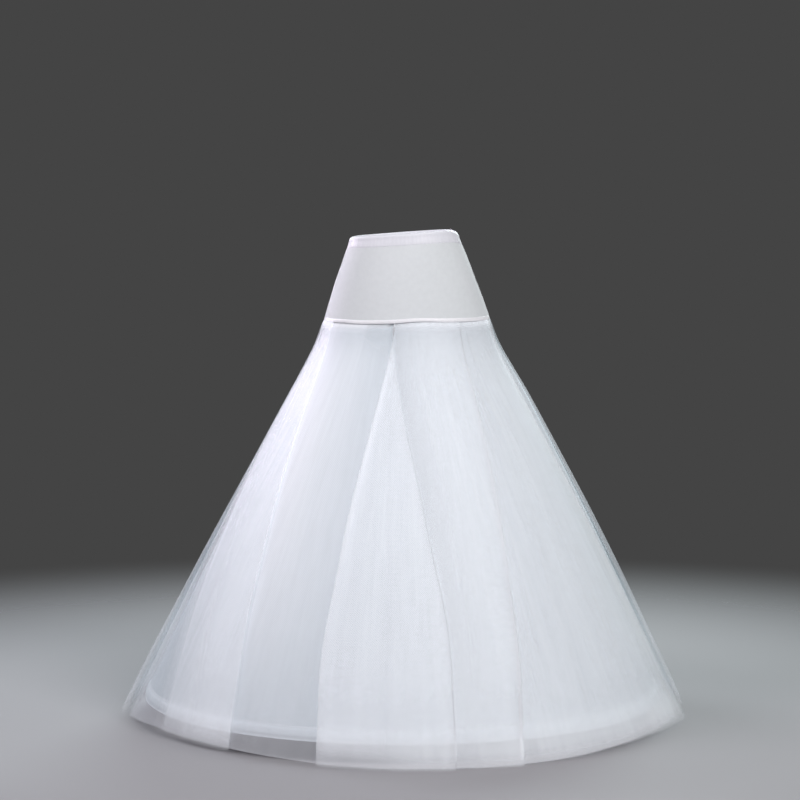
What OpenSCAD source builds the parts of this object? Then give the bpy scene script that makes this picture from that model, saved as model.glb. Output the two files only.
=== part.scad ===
// A-line petticoat with one hoop, as it hangs when worn.
// A stretch yoke on an elastic waist carries a lining, which a hoop holds round near the hem,
// and two tulle skirts over it, the outer one laid in folds.
// Millimetres. The origin is on the floor under the waist, +Z is up and the front faces -Y.
// Azimuths are in degrees round the wearer: 0 is the front and 90, at +X, is the wearer's left.

/* [Overall] */
// Height of the middle of the waist's top edge above the floor
total_h = 1000; // [900:5:1100]
// Width of the outer tulle at the hem
hem_dia = 1170; // [1000:5:1300]
// How far the skirts bulge out from a straight cone, half way down
skirt_round = 6; // [0:1:30]
// Height under which the hoop holds the skirts round
round_z = 130; // [100:5:200]

/* [Yoke] */
// Height of the yoke, from its lower edge to the top of the waistband
yoke_h = 178; // [140:1:220]
// Width of the waist, side to side
waist_w = 224; // [210:1:290]
// Depth of the waist, front to back
waist_d = 186; // [160:1:240]
// Width of the yoke's lower edge
hip_w = 346; // [320:1:400]
// Depth of the yoke's lower edge
hip_d = 264; // [230:1:320]
// How far the yoke bulges out over the hips
hip_round = 2; // [0:0.5:8]
// Lean of the waist, up towards +X
waist_tilt = 4; // [0:0.5:6]
// Thickness of the yoke's knit
knit_t = 1.2; // [0.8:0.1:2]
// Height of the tape that covers the seam between yoke and skirts
binding_h = 8; // [5:0.5:12]
// Thickness of that tape
binding_t = 1.8; // [1:0.1:3]

/* [Waistband] */
// Height of the waistband
band_h = 22; // [18:1:32]
// Thickness of the strip that is folded into the waistband
band_t = 1; // [0.6:0.1:1.6]
// Height of the yoke's top edge that is sewn in under the elastic
band_grip = 6; // [4:0.5:8]

/* [Lining and hoop] */
// Thickness of the lining
lining_t = 1; // [0.6:0.1:1.5]
// Height of the lining's hem above the floor
lining_hem_z = 42; // [20:1:60]
// Height of the hoop's casing, along the slope
casing_h = 28; // [22:1:36]
// Thickness of the casing's tape
tape_t = 0.8; // [0.5:0.1:1.2]
// Width of each stitched edge of the casing
casing_lip = 4; // [3:0.5:5]
// Width of the hoop's flat bone
bone_w = 8; // [5:0.5:9]
// Thickness of the bone
bone_t = 1.2; // [0.8:0.1:2]
// Wall of the sleeve that joins the bone's ends
sleeve_t = 0.6; // [0.4:0.1:1]
// Length of that sleeve
sleeve_l = 40; // [25:1:60]
// Space between the bone's ends inside the sleeve
bone_gap = 2; // [1:0.5:5]

/* [Tulle] */
// Thickness that stands for the net
net_t = 0.8; // [0.5:0.1:1.2]
// Length of the skirts' top edges that is sewn in under the yoke
tuck = 10; // [6:1:16]
// Depth of the folds at the hem, through the three layers of a fold
fold_depth = 18; // [10:1:24]
// Width of a fold's lap at the hem, in degrees
lap_hem = 10; // [6:0.5:10.5]
// Width of a fold's lap at the seam, in degrees
lap_seam = 3; // [2:0.25:3.25]
// How soon the folds turn from the spread of the seam to hanging straight, 1 for an even change
fold_hang = 1.6; // [1:0.1:2]
// Space between the two tulle skirts at the hem
tulle_gap = 3; // [2:0.5:6]
// Height of the outer tulle's hem above the floor, which the under tulle touches
outer_hem_z = 1; // [0.5:0.5:10]
// Space between the lining and the tulle at the hem
lining_gap = 9; // [7:0.5:16]

/* [Hidden] */

clear = 0.3;                    // space between pieces that are sewn or slid together
facet_room = 0.9;               // space at the seam between folded tulle and plain cloth, whose facets differ
seam_z = total_h - yoke_h;      // height of the seam between yoke and skirts
yoke_top = total_h - band_h + band_grip;
step = 6;                       // azimuth step of plain cloth
skirt_rows = 7;                 // rows of facets down a tulle skirt
row_crowd = 1.7;                // how much closer these rows are at the top, 1 for even rows
lining_rows = 3;                // rows down the lining, as far as the round part
yoke_rows = 5;
panel_steps = 4;                // facets between two folds
nose_share = 0.8;               // length of a fold's rounded edge, as a share of the space between its layers

// Azimuths of the yoke's side seams, and half the spread of one of the four gores of a plain skirt
side_seam = 90;
gore_half = 45;

// Seams of the outer tulle: azimuth at the yoke and at the hem
outer_right_seam = [-88, -75];
outer_left_seam = [88, 98];
outer_back_seam = [180, 180];
full_turn = [360, 360];

// Folds of the outer tulle: azimuth at the yoke, azimuth at the hem, and which cloth laps over,
// 1 for the cloth before the fold and -1 for the cloth after it
front_folds = [
    [-82, -56, -1], [-61, -34.5, 1], [-8, -15.5, -1], [-1, 9.5, 1], [43, 23.5, 1], [74, 86, 1],
];
back_left_folds = [[104, 110, -1], [128, 134, 1], [146, 149, -1], [168, 172, 1]];
back_right_folds = [[-168, -172, -1], [-146, -149, 1], [-128, -134, -1], [-96, -88, 1]];

white = [0.94, 0.94, 0.96];
tulle_white = [0.9, 0.92, 0.95];
bone_white = [0.97, 0.97, 0.94];

function lerp(a, b, f) = a + (b - a) * f;
function arch(f) = 4 * f * (1 - f);
function smooth(f) = f * f * (3 - 2 * f);
function flat(lists) = [for (list = lists) each list];
function reversed(list) = [for (i = [len(list) - 1:-1:0]) list[i]];

// Share of the way down the skirts, and up the yoke
function down(z) = max(0, (seam_z - z) / seam_z);
function up(z) = max(0, (z - seam_z) / yoke_h);

// Half width and half depth of the garment's outer face at height z
function half_w(z) = z >= seam_z
    ? lerp(hip_w, waist_w, up(z)) / 2 + hip_round * arch(up(z))
    : lerp(hip_w, hem_dia, down(z)) / 2 + skirt_round * arch(down(z));
function flatness(z) = pow(1 - min(1, down(z) / down(round_z)), 2);
function half_d(z) = z >= seam_z
    ? lerp(hip_d, waist_d, up(z)) / 2 + hip_round * arch(up(z))
    : half_w(z) - (hip_w - hip_d) / 2 * flatness(z);
function mean_r(z) = (half_w(z) + half_d(z)) / 2;
function degrees_of(length, z) = length / mean_r(z) * 180 / PI;

// The point at azimuth a, d outside the garment's outer face, at height z before the waist leans
function place(a, d, z) =
    let (x = (half_w(z) + d) * sin(a))
    [x, -(half_d(z) + d) * cos(a), z + x * tan(waist_tilt) * up(z)];

// Azimuth at height z of a fold or seam down the skirt, from its azimuths at the yoke and at the hem
function line_angle(line, z) = line[0] == line[1] ? line[0] :
    let (
        share = 1 - pow(1 - down(z), fold_hang),
        x = lerp(half_w(seam_z) * sin(line[0]), half_w(0) * sin(line[1]), share),
        y = lerp(half_d(seam_z) * cos(line[0]), half_d(0) * cos(line[1]), share)
    )
    atan2(x / half_w(z), y / half_d(z));

// Layers under the yoke, from the outside in: how far each outer face lies inside the garment's outer face
function fold_gap(z) = lerp(net_t + clear, fold_depth / 2, down(z));
function outer_tulle_in(z) = lerp(knit_t + facet_room, 0, down(z));
function under_tulle_in(z) =
    outer_tulle_in(z) + 2 * fold_gap(z) + net_t + lerp(facet_room, tulle_gap, sqrt(down(z)));
function lining_in(z) = under_tulle_in(z) + net_t + lerp(clear, lining_gap, down(z));

// Heights of the rows of points, from the top down. The skirts' rows are closest where the folds spread.
function rows_between(high, low, count, crowd) = [for (i = [0:count]) lerp(high, low, pow(i / count, crowd))];
function skirt_heights(hem_z) = concat(seam_z + tuck, rows_between(seam_z, hem_z, skirt_rows, row_crowd));
lining_heights = concat(seam_z + tuck, rows_between(seam_z, round_z, lining_rows, 1), lining_hem_z);
yoke_heights = rows_between(yoke_top, seam_z, yoke_rows, 1);

// Triangles of a grid of quads, whose corners are numbered by the function given
function grid_faces(rows, columns, corner) = flat([
    for (i = [0:rows - 1], j = [0:columns - 1])
    let (a = corner(i, j), b = corner(i, j + 1), c = corner(i + 1, j + 1), d = corner(i + 1, j))
    [[a, b, c], [a, c, d]]
]);

// A sheet of cloth as a thin solid between two grids of points, whose rows run from top to bottom
module cloth(outer, inner) {
    rows = len(outer) - 1;
    columns = len(outer[0]) - 1;
    half = len(outer) * len(outer[0]);
    front = function (i, j) i * (columns + 1) + j;
    back = function (i, j) half + front(i, j);
    faces = concat(
        grid_faces(rows, columns, front),
        [for (face = grid_faces(rows, columns, back)) reversed(face)],
        grid_faces(1, columns, function (i, j) i == 0 ? back(0, j) : front(0, j)),
        grid_faces(1, columns, function (i, j) i == 0 ? front(rows, j) : back(rows, j)),
        grid_faces(rows, 1, function (i, j) j == 0 ? back(i, 0) : front(i, 0)),
        grid_faces(rows, 1, function (i, j) j == 0 ? front(i, columns) : back(i, columns))
    );
    polyhedron(points = concat(flat(outer), flat(inner)), faces = faces);
}

// Plain cloth of thickness t that spreads to each side of an azimuth, as far as its seams.
// Its outer face is inside the garment's by the function given.
module plain_cloth(middle, spread, heights, t, inside) {
    columns = ceil(2 * spread / step);
    sheet = function (extra) [
        for (z = heights)
        let (reach = spread - degrees_of(clear / 2, z))
        [for (j = [0:columns]) place(middle + reach * (2 * j / columns - 1), -inside(z) - extra, z)]
    ];
    cloth(sheet(0), sheet(t));
}

// A closed band round the garment, from its section's points [outside the outer face, height]
module band(section) {
    columns = 360 / step;
    count = len(section);
    corner = function (i, j) (j % columns) * count + i % count;
    points = [for (j = [0:columns - 1], p = section) place(j * step, p[0], p[1])];
    polyhedron(points = points, faces = grid_faces(count, columns, corner));
}

// Marks along a fold at height z: [azimuth, layer], where layer 0 is outside and 2 is inside
function fold_marks(fold, z) =
    let (
        edge = line_angle(fold, z),
        lap = lerp(lap_seam, lap_hem, down(z)),
        nose = degrees_of(nose_share * fold_gap(z), z),
        marks = [
            [-lap, 0], [-nose, 0], [0, 0.5], [-nose, 1],
            [nose - lap, 1], [-lap, 1.5], [nose - lap, 2], [0, 2],
        ],
        turned = [for (m = marks) [edge + fold[2] * m[0], m[1]]]
    )
    fold[2] > 0 ? turned : reversed(turned);

// Marks across a panel between two folds
function panel_marks(a, b) = [
    for (i = [1:panel_steps])
    let (f = i / (panel_steps + 1))
    [lerp(a[0], b[0], f), lerp(a[1], b[1], smooth(f))]
];

// Marks from side to side of a width of folded tulle, which starts and ends in a recess at its seams
function width_marks(from, folds, to, z) =
    let (
        gap = degrees_of(clear / 2, z),
        stops = concat(
            [[[line_angle(from, z) + gap, 2]]],
            [for (fold = folds) fold_marks(fold, z)],
            [[[line_angle(to, z) - gap, 2]]]
        )
    )
    flat([
        for (i = [0:len(stops) - 1])
        i == 0 ? stops[0] : concat(panel_marks(stops[i - 1][len(stops[i - 1]) - 1], stops[i][0]), stops[i])
    ]);

// Outward direction in plan of a row of points, at point j
function outward(row, j) =
    let (run = row[min(j + 1, len(row) - 1)] - row[max(j - 1, 0)])
    [run.y, -run.x, 0] / norm([run.x, run.y]);

module outer_tulle_width(from, folds, to) {
    middle = [
        for (z = skirt_heights(outer_hem_z))
        [for (m = width_marks(from, folds, to, z))
            place(m[0], -outer_tulle_in(z) - net_t / 2 - m[1] * fold_gap(z), z)]
    ];
    side = function (d) [
        for (row = middle) [for (j = [0:len(row) - 1]) row[j] + d * outward(row, j)]
    ];
    color(tulle_white)
    cloth(side(net_t / 2), side(-net_t / 2));
}

module waist_elastic() {
    low = yoke_top + clear;
    high = total_h - band_t - clear;
    color(white)
    band([[0, low], [-knit_t, low], [-knit_t, high], [0, high]]);
}

// The strip is folded over the elastic, and its two edges take the yoke's top edge between them
module waistband() {
    low = total_h - band_h;
    outside = clear + band_t;
    inside = knit_t + clear;
    color(white)
    band([
        [clear, low], [clear, total_h - band_t], [-inside, total_h - band_t], [-inside, low],
        [-inside - band_t, low], [-inside - band_t, total_h - band_t], [-inside, total_h],
        [clear, total_h], [outside, total_h - band_t], [outside, low],
    ]);
}

module yoke_panel(middle) {
    color(white)
    plain_cloth(middle, side_seam, yoke_heights, knit_t, function (z) 0);
}

module yoke_binding() {
    round = binding_t / 2;
    low = seam_z - clear;
    high = low + binding_h;
    color(white)
    band([
        [clear, low], [clear, high], [clear + round, high], [clear + binding_t, high - round],
        [clear + binding_t, low + round], [clear + round, low],
    ]);
}

module lining_gore(middle) {
    color(white)
    plain_cloth(middle, gore_half, lining_heights, lining_t, function (z) lining_in(z));
}

module under_tulle_gore(middle) {
    color(tulle_white)
    plain_cloth(middle, gore_half, skirt_heights(0), net_t, function (z) under_tulle_in(z));
}

// The lining's slope at the hoop, in a section [radius, height]
lining_low = [half_w(lining_hem_z) - lining_in(lining_hem_z), lining_hem_z];
lining_high = [half_w(round_z) - lining_in(round_z), round_z];
slope_up = (lining_high - lining_low) / norm(lining_high - lining_low);
slope_out = [slope_up.y, -slope_up.x];
// The point s up that slope and n out from the cloth
function on_slope(s, n) = lining_low + s * slope_up + n * slope_out;

casing_room = bone_t + 2 * (clear + sleeve_t + clear);   // space that the casing leaves for bone and sleeve
hoop_s = casing_h / 2;
hoop_n = clear + casing_room / 2;
hoop_r = on_slope(hoop_s, hoop_n).x;
function hoop_degrees(length) = length / hoop_r * 180 / PI;

// A flat bar round the skirt, centred on the hoop's line and at the back, over the length of arc given
module hoop_bar(width, thickness, arc, turn) {
    half = [width / 2, thickness / 2];
    rotate([0, 0, turn])
    rotate_extrude(angle = arc, $fn = 180)
    polygon([
        for (corner = [[-1, -1], [1, -1], [1, 1], [-1, 1]])
        on_slope(hoop_s + corner.x * half.x, hoop_n + corner.y * half.y)
    ]);
}

module hoop_bone() {
    gap = hoop_degrees(bone_gap);
    color(bone_white)
    hoop_bar(bone_w, bone_t, 360 - gap, 90 + gap / 2);
}

module hoop_connector() {
    arc = hoop_degrees(sleeve_l);
    hole = bone_t + 2 * clear;
    color(bone_white)
    difference() {
        hoop_bar(bone_w + 2 * (clear + sleeve_t), hole + 2 * sleeve_t, arc, 90 - arc / 2);
        hoop_bar(bone_w + 2 * clear, hole, 3 * arc, 90 - 1.5 * arc);
    }
}

// A tape whose two edges are stitched to the lining, with the hoop in the tunnel between them
module hoop_casing() {
    ramp = casing_room;
    low = [0, casing_lip, casing_lip + ramp];
    high = [casing_h - casing_lip - ramp, casing_h - casing_lip, casing_h];
    rise = [clear, clear, clear + casing_room];
    path = concat([for (i = [0:2]) [low[i], rise[i]]], [for (i = [0:2]) [high[i], rise[2 - i]]]);
    color(white)
    rotate_extrude($fn = 180)
    polygon(concat(
        [for (p = path) on_slope(p[0], p[1])],
        [for (p = reversed(path)) on_slope(p[0], p[1] + tape_t)]
    ));
}

waist_elastic();
waistband();
yoke_panel(0);  // yoke_front
yoke_panel(180);  // yoke_back
yoke_binding();
lining_gore(0);  // lining_front
lining_gore(90);  // lining_left
lining_gore(180);  // lining_back
lining_gore(270);  // lining_right
hoop_casing();
hoop_bone();
hoop_connector();
under_tulle_gore(0);  // under_tulle_front
under_tulle_gore(90);  // under_tulle_left
under_tulle_gore(180);  // under_tulle_back
under_tulle_gore(270);  // under_tulle_right
outer_tulle_width(outer_right_seam, front_folds, outer_left_seam);  // outer_tulle_front
outer_tulle_width(outer_left_seam, back_left_folds, outer_back_seam);  // outer_tulle_back_left
outer_tulle_width(outer_back_seam - full_turn, back_right_folds, outer_right_seam);  // outer_tulle_back_right
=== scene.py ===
# %% [markdown]
# # A hoop petticoat
# A white A-line petticoat, as it hangs when worn: a stretch yoke on an elastic waist, a lining that one
# hoop holds round near the hem, and two tulle skirts over it. The outer tulle is laid in long pleats.
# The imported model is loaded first. Each cloth piece below then takes the place of its plain solid.

# %% The frame
import math
from collections import namedtuple

import bpy
import numpy as np
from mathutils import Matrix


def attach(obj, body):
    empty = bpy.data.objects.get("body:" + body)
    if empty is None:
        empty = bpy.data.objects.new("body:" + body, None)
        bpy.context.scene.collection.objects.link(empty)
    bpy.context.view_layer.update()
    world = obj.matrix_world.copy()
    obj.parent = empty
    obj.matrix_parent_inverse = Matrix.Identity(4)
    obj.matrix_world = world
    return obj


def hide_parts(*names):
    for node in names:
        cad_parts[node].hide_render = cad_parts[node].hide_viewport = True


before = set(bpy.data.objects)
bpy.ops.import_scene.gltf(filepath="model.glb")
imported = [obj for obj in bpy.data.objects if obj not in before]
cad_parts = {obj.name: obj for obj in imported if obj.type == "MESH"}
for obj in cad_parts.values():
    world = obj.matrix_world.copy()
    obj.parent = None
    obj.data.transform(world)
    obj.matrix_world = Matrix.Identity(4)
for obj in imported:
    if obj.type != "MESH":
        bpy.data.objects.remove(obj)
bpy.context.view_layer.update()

# %% [markdown]
# ## The body of the garment
# Every cloth here follows one surface, so it is written once, with the part's own sizes in millimetres.
# Rings of the yoke are ellipses. Down the skirt they turn into circles, because the hoop spreads them.
# An azimuth of 0 is the front, which faces -Y, and 90 is the wearer's left, at +X.

# %% The rings that all cloths follow
TOTAL_H, YOKE_H = 1000.0, 178.0
SEAM_Z = TOTAL_H - YOKE_H
HEM_W, SKIRT_ROUND, ROUND_Z = 1170.0, 6.0, 130.0
WAIST_W, WAIST_D, HIP_W, HIP_D, HIP_ROUND = 224.0, 186.0, 346.0, 264.0, 2.0


def mix(a, b, share):
    """The value a share of the way from a to b."""
    return a + (b - a) * share


def arch(share):
    """0 at both ends and 1 halfway."""
    return 4 * share * (1 - share)


def down(z):
    """Share of the way down the skirts."""
    return np.clip((SEAM_Z - z) / SEAM_Z, 0, 1)


def up(z):
    """Share of the way up the yoke."""
    return np.maximum((z - SEAM_Z) / YOKE_H, 0)


def cling(z):
    """How much closer worn cloth lies than the plain rings: a little at the seam, most under the hips."""
    return (10 - 7.5 * np.exp(-(down(z) / 0.06) ** 2)) * np.exp(-(down(z) / 0.42) ** 2)


def half_width(z):
    skirt = mix(HIP_W, HEM_W, down(z)) / 2 + SKIRT_ROUND * arch(down(z))
    yoke = mix(HIP_W, WAIST_W, up(z)) / 2 + HIP_ROUND * arch(up(z))
    return np.where(z >= SEAM_Z, yoke, skirt) - cling(z)


def half_depth(z):
    flatness = (1 - np.minimum(down(z) / down(ROUND_Z), 1)) ** 2
    skirt = half_width(z) - (HIP_W - HIP_D) / 2 * flatness
    yoke = mix(HIP_D, WAIST_D, up(z)) / 2 + HIP_ROUND * arch(up(z)) - cling(z)
    return np.where(z >= SEAM_Z, yoke, skirt)


def mean_radius(z):
    return (half_width(z) + half_depth(z)) / 2


print("half width at waist, seam and hem:", [float(half_width(z)) for z in (TOTAL_H, SEAM_Z, 0.0)])

# %% [markdown]
# No ring of worn cloth is quite level or centred: the waist leans and droops at one side, the seam waves,
# and the hips have shifted to one side.

# %% Points on the garment
WAIST_TILT = math.tan(math.radians(4))
HIP_SHIFT, WAIST_SHIFT = 9.0, 3.5


def from_front(azimuth):
    """The same azimuth between -180 and 180."""
    return (np.asarray(azimuth, float) + 180) % 360 - 180


def hump(azimuth, middle, width):
    """1 at the middle azimuth, and nearly 0 two widths away."""
    return np.exp(-(from_front(azimuth - middle) / width) ** 2)


def lean(azimuth, x, z):
    """How much higher the cloth hangs at an azimuth than its ring, in millimetres."""
    turn = np.radians(azimuth)
    waist = x * WAIST_TILT - 10 * hump(azimuth, 88, 20) - 2 * hump(azimuth, -88, 16)
    seam = 2.6 * np.sin(turn) + 1.5 * np.sin(4 * turn + 0.7)
    return waist * up(z) + seam * np.clip(1 - np.abs(z - SEAM_Z) / 90, 0, 1)


def sway(z):
    """How far a ring has shifted to the wearer's left, in millimetres."""
    skirt = HIP_SHIFT * np.clip((z - ROUND_Z) / (SEAM_Z - ROUND_Z), 0, 1)
    return np.where(z >= SEAM_Z, mix(HIP_SHIFT, WAIST_SHIFT, up(z)), skirt)


def on_garment(azimuth, outside, z):
    """Points in metres at azimuths in degrees, some millimetres outside the surface, at heights z."""
    turn = np.radians(azimuth)
    x = (half_width(z) + outside) * np.sin(turn)
    y = -(half_depth(z) + outside) * np.cos(turn)
    return np.stack(np.broadcast_arrays(x + sway(z), y, z + lean(azimuth, x, z)), -1) / 1000


print("middle of the seam in front, in metres:", on_garment(0.0, 0.0, SEAM_Z).round(4).tolist())

# %% [markdown]
# ## Camera
# A long lens a little above the waist, looking slightly down, so the hem shows as an arc.

# %% Camera
CAMERA_PLACE, AIM_Z = (-0.005, -5.8, 1.15), 0.655
scene = bpy.context.scene
camera = bpy.data.objects.new("camera", bpy.data.cameras.new("camera"))
scene.collection.objects.link(camera)
camera.data.lens, camera.data.sensor_width = 126.35, 36
camera.location = CAMERA_PLACE
camera.rotation_euler = (math.radians(90) - math.atan2(CAMERA_PLACE[2] - AIM_Z, -CAMERA_PLACE[1]), 0, 0)
scene.camera = camera
print("camera tilt:", round(math.degrees(camera.rotation_euler.x), 2), "degrees")

# %% [markdown]
# ## Building materials from nodes
# One function turns the hex colours into the linear values that shaders use, one adds a node with its
# inputs and settings, and one starts a material with its shader. The others are short forms for what all
# the finishes below have in common: sums, bands of a real length, and a tone and bump at the end.

# %% Helpers for nodes
def colour(code):
    """The linear colour of an sRGB hex code."""
    channels = [int(code[i:i + 2], 16) / 255 for i in (1, 3, 5)]
    return [c / 12.92 if c <= 0.04045 else ((c + 0.055) / 1.055) ** 2.4 for c in channels] + [1.0]


def add(tree, kind, inputs=None, **settings):
    """Add a node, set its properties, and fill or link its inputs by name or number."""
    node = tree.nodes.new(kind)
    for name, value in settings.items():
        setattr(node, name, value)
    for name, value in (inputs or {}).items():
        if isinstance(value, bpy.types.NodeSocket):
            tree.links.new(value, node.inputs[name])
        else:
            node.inputs[name].default_value = value
    return node


def maths(tree, operation, *values, kind="ShaderNodeMath"):
    """The result of a Math node on these numbers or sockets."""
    return add(tree, kind, dict(enumerate(values)), operation=operation).outputs[0]


def vector_maths(tree, operation, *values):
    return maths(tree, operation, *values, kind="ShaderNodeVectorMath")


print("half of white in sRGB is", round(colour("#808080")[0], 3), "in linear light")

# %% Helpers for finishes
def start_material(name, **values):
    """A new material with a Principled shader, whose plain values are set on its own sockets."""
    material = bpy.data.materials.new(name)
    material.use_nodes = True
    shader = material.node_tree.nodes["Principled BSDF"]
    for label, value in values.items():
        shader.inputs[label.replace("_", " ")].default_value = value
    return material, material.node_tree, shader


def bands(millimetres):
    """Scale of a Wave texture whose bands repeat over this length, on coordinates in metres."""
    return 2 * math.pi / 20 / (millimetres / 1000)


def tone_and_bump(tree, shader, tones, spots, height, depth, strength):
    """Vary a shader between two tones by its spots, and bump it by a height of so many millimetres."""
    dark, light = map(colour, tones)
    tone = add(tree, "ShaderNodeMix", {"Factor": spots, 6: dark, 7: light}, data_type="RGBA")
    bump = add(tree, "ShaderNodeBump", {"Distance": depth / 1000, "Strength": strength, "Height": height})
    tree.links.new(tone.outputs[2], shader.inputs["Base Color"])
    tree.links.new(bump.outputs[0], shader.inputs["Normal"])


print("bands of 2 mm need a scale of", round(bands(2.0), 1))

# %% [markdown]
# ## Tulle
# Tulle is a net of fine polyester threads, mostly holes. Seen from a few steps away, one layer is a veil
# and several layers are nearly white, which is what draws the folds. Modelled threads would take millions
# of faces, so the net is an alpha pattern on a single surface: two sets of slanting threads on the UV
# map, and streaks down the garment, where the net is crowded or pulled open. A folded piece also carries
# a number on each point, which says how crowded the net is there. Beside the folds that number also holds
# painted shade: it thins the net, so that the grey lining shows darker.
# The holes of such a net are about 1.2 mm. They are drawn at 2.4 mm, so that they show from close by.
# From a few steps away they melt into an even veil, as the real ones do, and the streaks are left to see.
# The threads are clear, so they pass on most of the light they stop, and their shadow is thin.

# %% Tulle finish
NET, THREAD_SLANT, THREAD_SHARPNESS = 2.4, 58, 3.0
SHINES_THROUGH = 0.85
STREAKS_PER_RADIAN = 22.0   # about 27 mm apart at the hem and 8 mm at the hips


def streaks(tree):
    """A factor near 1 that changes round the garment, and only slowly down it."""
    place = add(tree, "ShaderNodeTexCoord").outputs["Object"]
    facing = vector_maths(tree, "NORMALIZE", vector_maths(tree, "MULTIPLY", place, (1.0, 1.0, 0.0)))
    long_way = vector_maths(tree, "MULTIPLY_ADD", place, (0.0, 0.0, 0.25), facing)
    noise = add(tree, "ShaderNodeTexNoise",
                {"Vector": long_way, "Scale": STREAKS_PER_RADIAN, "Detail": 3.0})
    crowd = add(tree, "ShaderNodeMapRange", {0: noise.outputs["Fac"], 1: 0.3, 2: 0.7, 3: 0.94, 4: 1.06})
    return crowd.outputs[0]


def tulle(name, tone, thin, thick, crowded):
    material, tree, shader = start_material(
        name, Base_Color=colour(tone), Roughness=0.62, IOR=1.5, Sheen_Weight=0.15)
    where = add(tree, "ShaderNodeTexCoord").outputs["UV"]
    threads = []
    for slant in (THREAD_SLANT, -THREAD_SLANT):
        turned = add(tree, "ShaderNodeMapping", {"Vector": where, "Rotation": (0, 0, math.radians(slant))})
        wave = add(tree, "ShaderNodeTexWave", {"Vector": turned.outputs[0], "Scale": bands(NET)})
        threads.append(maths(tree, "POWER", wave.outputs["Fac"], THREAD_SHARPNESS))
    net = maths(tree, "MAXIMUM", *threads)
    cover = add(tree, "ShaderNodeMapRange", {0: net, 3: thin, 4: thick})
    seen = maths(tree, "MULTIPLY", cover.outputs[0], streaks(tree))
    # The number read here is partly crowding of the net and partly painted shade beside the folds.
    if crowded:
        folded = add(tree, "ShaderNodeAttribute", attribute_name="crowding")
        seen = maths(tree, "MULTIPLY", seen, folded.outputs["Fac"])
    shadow = add(tree, "ShaderNodeLightPath").outputs["Is Shadow Ray"]
    passed_on = maths(tree, "MULTIPLY_ADD", shadow, -SHINES_THROUGH, 1.0)
    tree.links.new(maths(tree, "MULTIPLY", seen, passed_on), shader.inputs["Alpha"])
    return material


outer_net = tulle("polyester_tulle_outer", "#EFF4F8", 0.25, 0.31, True)
under_net = tulle("polyester_tulle_under", "#EEF1F9", 0.14, 0.21, False)
print("tulle net drawn at", NET, "mm")

# %% [markdown]
# ## Lining and casing
# The lining is a thin plain-woven polyester, smooth and a little shiny along the thread. Its weave is too
# fine to model, so warp and weft are two crossed waves in the bump, drawn at 2 mm instead of a fifth of
# that. Slubs make long pale streaks.
# The casing is a soft woven tape, closer and duller than the lining.
# Both are drawn grey rather than white, as painted shade: the real cloths are white, and the grey stands in
# for the shade that they lie in under the net. So much light goes through a net that white would hide the
# folds in front of it.

# %% Lining and tape finishes
def woven(name, tones, pitch, roughness, depth, sheen):
    material, tree, shader = start_material(name, Roughness=roughness, IOR=1.48, Sheen_Weight=sheen)
    where = add(tree, "ShaderNodeTexCoord").outputs["UV"]
    wave = {"Vector": where, "Scale": bands(pitch)}
    across, along = (add(tree, "ShaderNodeTexWave", wave, bands_direction=way) for way in "XY")
    weave = maths(tree, "MULTIPLY", across.outputs["Fac"], along.outputs["Fac"])
    long_way = add(tree, "ShaderNodeMapping", {"Vector": where, "Scale": (1, 0.08, 1)})
    slubs = add(tree, "ShaderNodeTexNoise", {"Vector": long_way.outputs[0], "Scale": 60.0, "Detail": 4.0})
    tone_and_bump(tree, shader, tones, slubs.outputs["Fac"], weave, depth, 0.6)
    return material


# Grey tones as painted shade: the real lining and casing are white.
taffeta = woven("polyester_taffeta_lining", ("#A1ACB1", "#AFBABF"), 2.0, 0.5, 0.15, 0.1)
casing_tape = woven("woven_casing_tape", ("#A8B2B7", "#B6C0C5"), 1.6, 0.7, 0.2, 0.2)
print("woven finishes:", taffeta.name, casing_tape.name)

# %% [markdown]
# ## Knit and tapes
# The yoke is a fine cotton and elastane knit. Single loops are too small to see, but its upright wales
# catch the light as faint ribs, and its fuzz brightens the edges, which is what the sheen is for. Wales
# are about 0.8 mm apart and are drawn at 2.2 mm. The waistband and the seam's tape are satin-faced, so
# they are smoother, with a fine slanting twill, and sewing thread shows its twist in the same way.

# %% Knit, satin and thread finishes
def ribbed(name, tones, pitch, slant, roughness, depth, sheen):
    material, tree, shader = start_material(
        name, Roughness=roughness, IOR=1.48, Sheen_Weight=sheen, Sheen_Roughness=0.4)
    where = add(tree, "ShaderNodeTexCoord").outputs["UV"]
    turned = add(tree, "ShaderNodeMapping", {"Vector": where, "Rotation": (0, 0, math.radians(slant))})
    ribs = add(tree, "ShaderNodeTexWave", {"Vector": turned.outputs[0], "Scale": bands(pitch)})
    mottle = add(tree, "ShaderNodeTexNoise", {"Vector": where, "Scale": 90.0, "Detail": 5.0}).outputs["Fac"]
    both = maths(tree, "MULTIPLY_ADD", mottle, 0.6, ribs.outputs["Fac"])
    tone_and_bump(tree, shader, tones, mottle, both, depth, 0.5)
    return material


yoke_knit = ribbed("cotton_elastane_knit", ("#D1D6D8", "#DBE0E2"), 2.2, 0, 0.75, 0.18, 0.15)
band_satin = ribbed("satin_waistband", ("#DADCE3", "#E4E6EC"), 1.4, 30, 0.5, 0.08, 0.3)
seam_satin = ribbed("satin_seam_tape", ("#E6E8EC", "#F1F2F5"), 1.4, 30, 0.45, 0.08, 0.3)
thread = ribbed("polyester_thread", ("#E9EAEF", "#F7F7FA"), 0.6, 35, 0.5, 0.05, 0.2)
print("knit and satin finishes:", yoke_knit.name, band_satin.name, seam_satin.name, thread.name)

# %% [markdown]
# ## Making a cloth from rows of points
# A cloth that hangs is a grid: rows from the top down, columns round the wearer. It could be sculpted, but
# rows of points keep every line where it was measured. The faces are wound so that they look outwards,
# and the UV map holds real lengths in metres, so a weave has the same size on every piece.

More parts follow.
